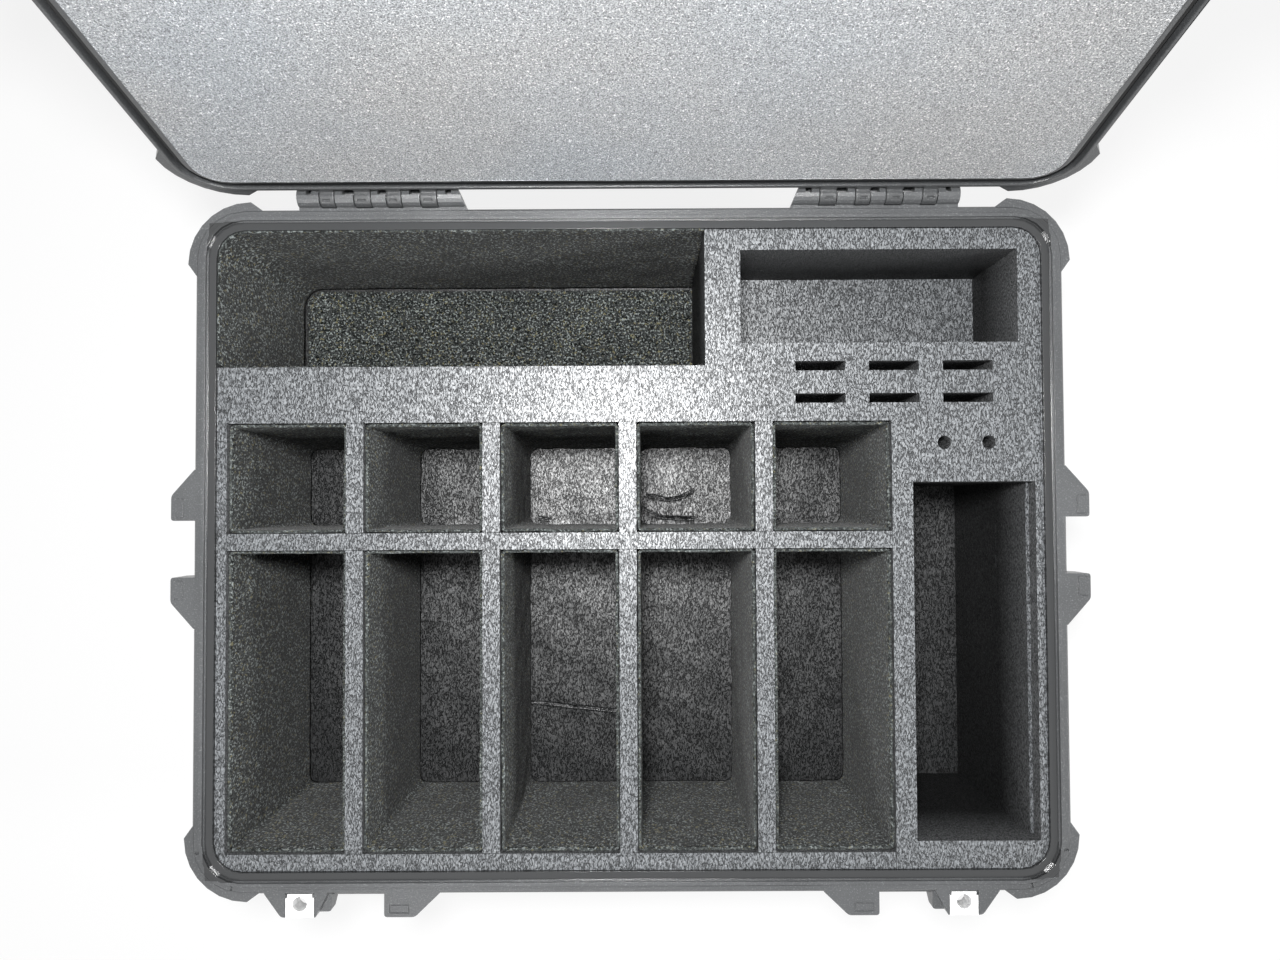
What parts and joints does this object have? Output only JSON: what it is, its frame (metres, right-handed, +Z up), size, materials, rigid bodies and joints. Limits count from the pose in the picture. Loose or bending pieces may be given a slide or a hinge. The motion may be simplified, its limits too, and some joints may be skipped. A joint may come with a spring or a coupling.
{
  "type": "hard carrying case",
  "caption": "Hard plastic carrying case standing open, with latches, carrying handles, padlock eyes and a foam insert of felt-lined pockets, slots and holes.",
  "frame": {"origin": "middle of the flat face that the case rests on", "axes": "+X along the hinges to the right as seen from the front, +Y from the front to the hinges, +Z up"},
  "size_m": [0.6746, 0.6407, 0.6565],
  "materials": {
    "shell": "satin",
    "latch_plastic": "satin",
    "handle_grip": "matte",
    "seal_rubber": "matte",
    "hinge_steel": "satin",
    "pin_steel": "satin",
    "padlock_steel": "satin",
    "lid_foam": "matte",
    "floor_foam": "matte",
    "block_foam": "matte",
    "felt": "matte"
  },
  "bodies": {
    "base": {"base_shell": "shell", "hinge_pin_left": "hinge_steel", "hinge_pin_right": "hinge_steel", "padlock_plate_base_left": "padlock_steel", "padlock_plate_base_right": "padlock_steel", "handle_front_pin_a": "pin_steel", "handle_front_pin_b": "pin_steel", "handle_left_pin_a": "pin_steel", "handle_left_pin_b": "pin_steel", "handle_right_pin_a": "pin_steel", "handle_right_pin_b": "pin_steel", "valve_body": "latch_plastic", "valve_seal": "seal_rubber", "valve_nut": "pin_steel", "floor_pad": "floor_foam", "foam_lower_layer": "block_foam", "foam_upper_layer": "block_foam", "foam_border_strip": "block_foam", "divider_long_1": "block_foam", "divider_long_2": "block_foam", "divider_long_3": "block_foam", "divider_long_4": "block_foam", "divider_cross": "block_foam", "felt_large_pocket": "felt", "felt_back_pocket_1": "felt", "felt_back_pocket_2": "felt", "felt_back_pocket_3": "felt", "felt_back_pocket_4": "felt", "felt_back_pocket_5": "felt", "felt_front_pocket_1": "felt", "felt_front_pocket_2": "felt", "felt_front_pocket_3": "felt", "felt_front_pocket_4": "felt", "felt_front_pocket_5": "felt"},
    "lid": {"lid_shell": "shell", "lid_seal": "seal_rubber", "lid_foam": "lid_foam", "padlock_plate_lid_left": "padlock_steel", "padlock_plate_lid_right": "padlock_steel", "latch_front_left_arm_pin": "pin_steel", "latch_front_right_arm_pin": "pin_steel", "latch_side_left_arm_pin": "pin_steel", "latch_side_right_arm_pin": "pin_steel"},
    "latch_front_left_arm": {"latch_front_left_arm": "latch_plastic", "latch_front_left_lever_pin": "pin_steel"},
    "latch_front_left_lever": {"latch_front_left_lever": "latch_plastic"},
    "latch_front_right_arm": {"latch_front_right_arm": "latch_plastic", "latch_front_right_lever_pin": "pin_steel"},
    "latch_front_right_lever": {"latch_front_right_lever": "latch_plastic"},
    "latch_side_left_arm": {"latch_side_left_arm": "latch_plastic", "latch_side_left_lever_pin": "pin_steel"},
    "latch_side_left_lever": {"latch_side_left_lever": "latch_plastic"},
    "latch_side_right_arm": {"latch_side_right_arm": "latch_plastic", "latch_side_right_lever_pin": "pin_steel"},
    "latch_side_right_lever": {"latch_side_right_lever": "latch_plastic"},
    "handle_front": {"handle_front": "handle_grip"},
    "handle_left": {"handle_left": "handle_grip"},
    "handle_right": {"handle_right": "handle_grip"}
  },
  "joints": [
    {"name": "lid_hinge", "type": "hinge", "parent": "base", "child": "lid", "pos_m": [0, 0.23191, 0.168], "axis": [-1, 0, 0], "range_deg": [-103.33, 0]},
    {"name": "latch_front_left_arm_pivot", "type": "hinge", "parent": "lid", "child": "latch_front_left_arm", "pos_m": [-0.17955, 0.35083, 0.61786], "axis": [-1, 0, 0], "range_deg": [-110, 0]},
    {"name": "latch_front_left_lever_pivot", "type": "hinge", "parent": "latch_front_left_arm", "child": "latch_front_left_lever", "pos_m": [-0.17955, 0.372, 0.64823], "axis": [-1, 0, 0], "range_deg": [-55, 0]},
    {"name": "latch_front_right_arm_pivot", "type": "hinge", "parent": "lid", "child": "latch_front_right_arm", "pos_m": [0.17955, 0.35083, 0.61786], "axis": [-1, 0, 0], "range_deg": [-110, 0]},
    {"name": "latch_front_right_lever_pivot", "type": "hinge", "parent": "latch_front_right_arm", "child": "latch_front_right_lever", "pos_m": [0.17955, 0.372, 0.64823], "axis": [-1, 0, 0], "range_deg": [-55, 0]},
    {"name": "latch_side_left_arm_pivot", "type": "hinge", "parent": "lid", "child": "latch_side_left_arm", "pos_m": [-0.2955, 0.29706, 0.39089], "axis": [0, -0.2306, -0.9731], "range_deg": [-110, 0]},
    {"name": "latch_side_left_lever_pivot", "type": "hinge", "parent": "latch_side_left_arm", "child": "latch_side_left_lever", "pos_m": [-0.32993, 0.31028, 0.38776], "axis": [0, -0.2306, -0.9731], "range_deg": [-55, 0]},
    {"name": "latch_side_right_arm_pivot", "type": "hinge", "parent": "lid", "child": "latch_side_right_arm", "pos_m": [0.2955, 0.29706, 0.39089], "axis": [0, 0.2306, 0.9731], "range_deg": [-110, 0]},
    {"name": "latch_side_right_lever_pivot", "type": "hinge", "parent": "latch_side_right_arm", "child": "latch_side_right_lever", "pos_m": [0.32993, 0.31028, 0.38776], "axis": [0, 0.2306, 0.9731], "range_deg": [-55, 0]},
    {"name": "handle_front_pivot", "type": "hinge", "parent": "base", "child": "handle_front", "pos_m": [0, -0.22525, 0.106], "axis": [1, 0, 0], "range_deg": [-95, 0]},
    {"name": "handle_left_pivot", "type": "hinge", "parent": "base", "child": "handle_left", "pos_m": [-0.2875, 0, 0.106], "axis": [0, -1, 0], "range_deg": [-95, 0]},
    {"name": "handle_right_pivot", "type": "hinge", "parent": "base", "child": "handle_right", "pos_m": [0.2875, 0, 0.106], "axis": [0, 1, 0], "range_deg": [-95, 0]}
  ]
}
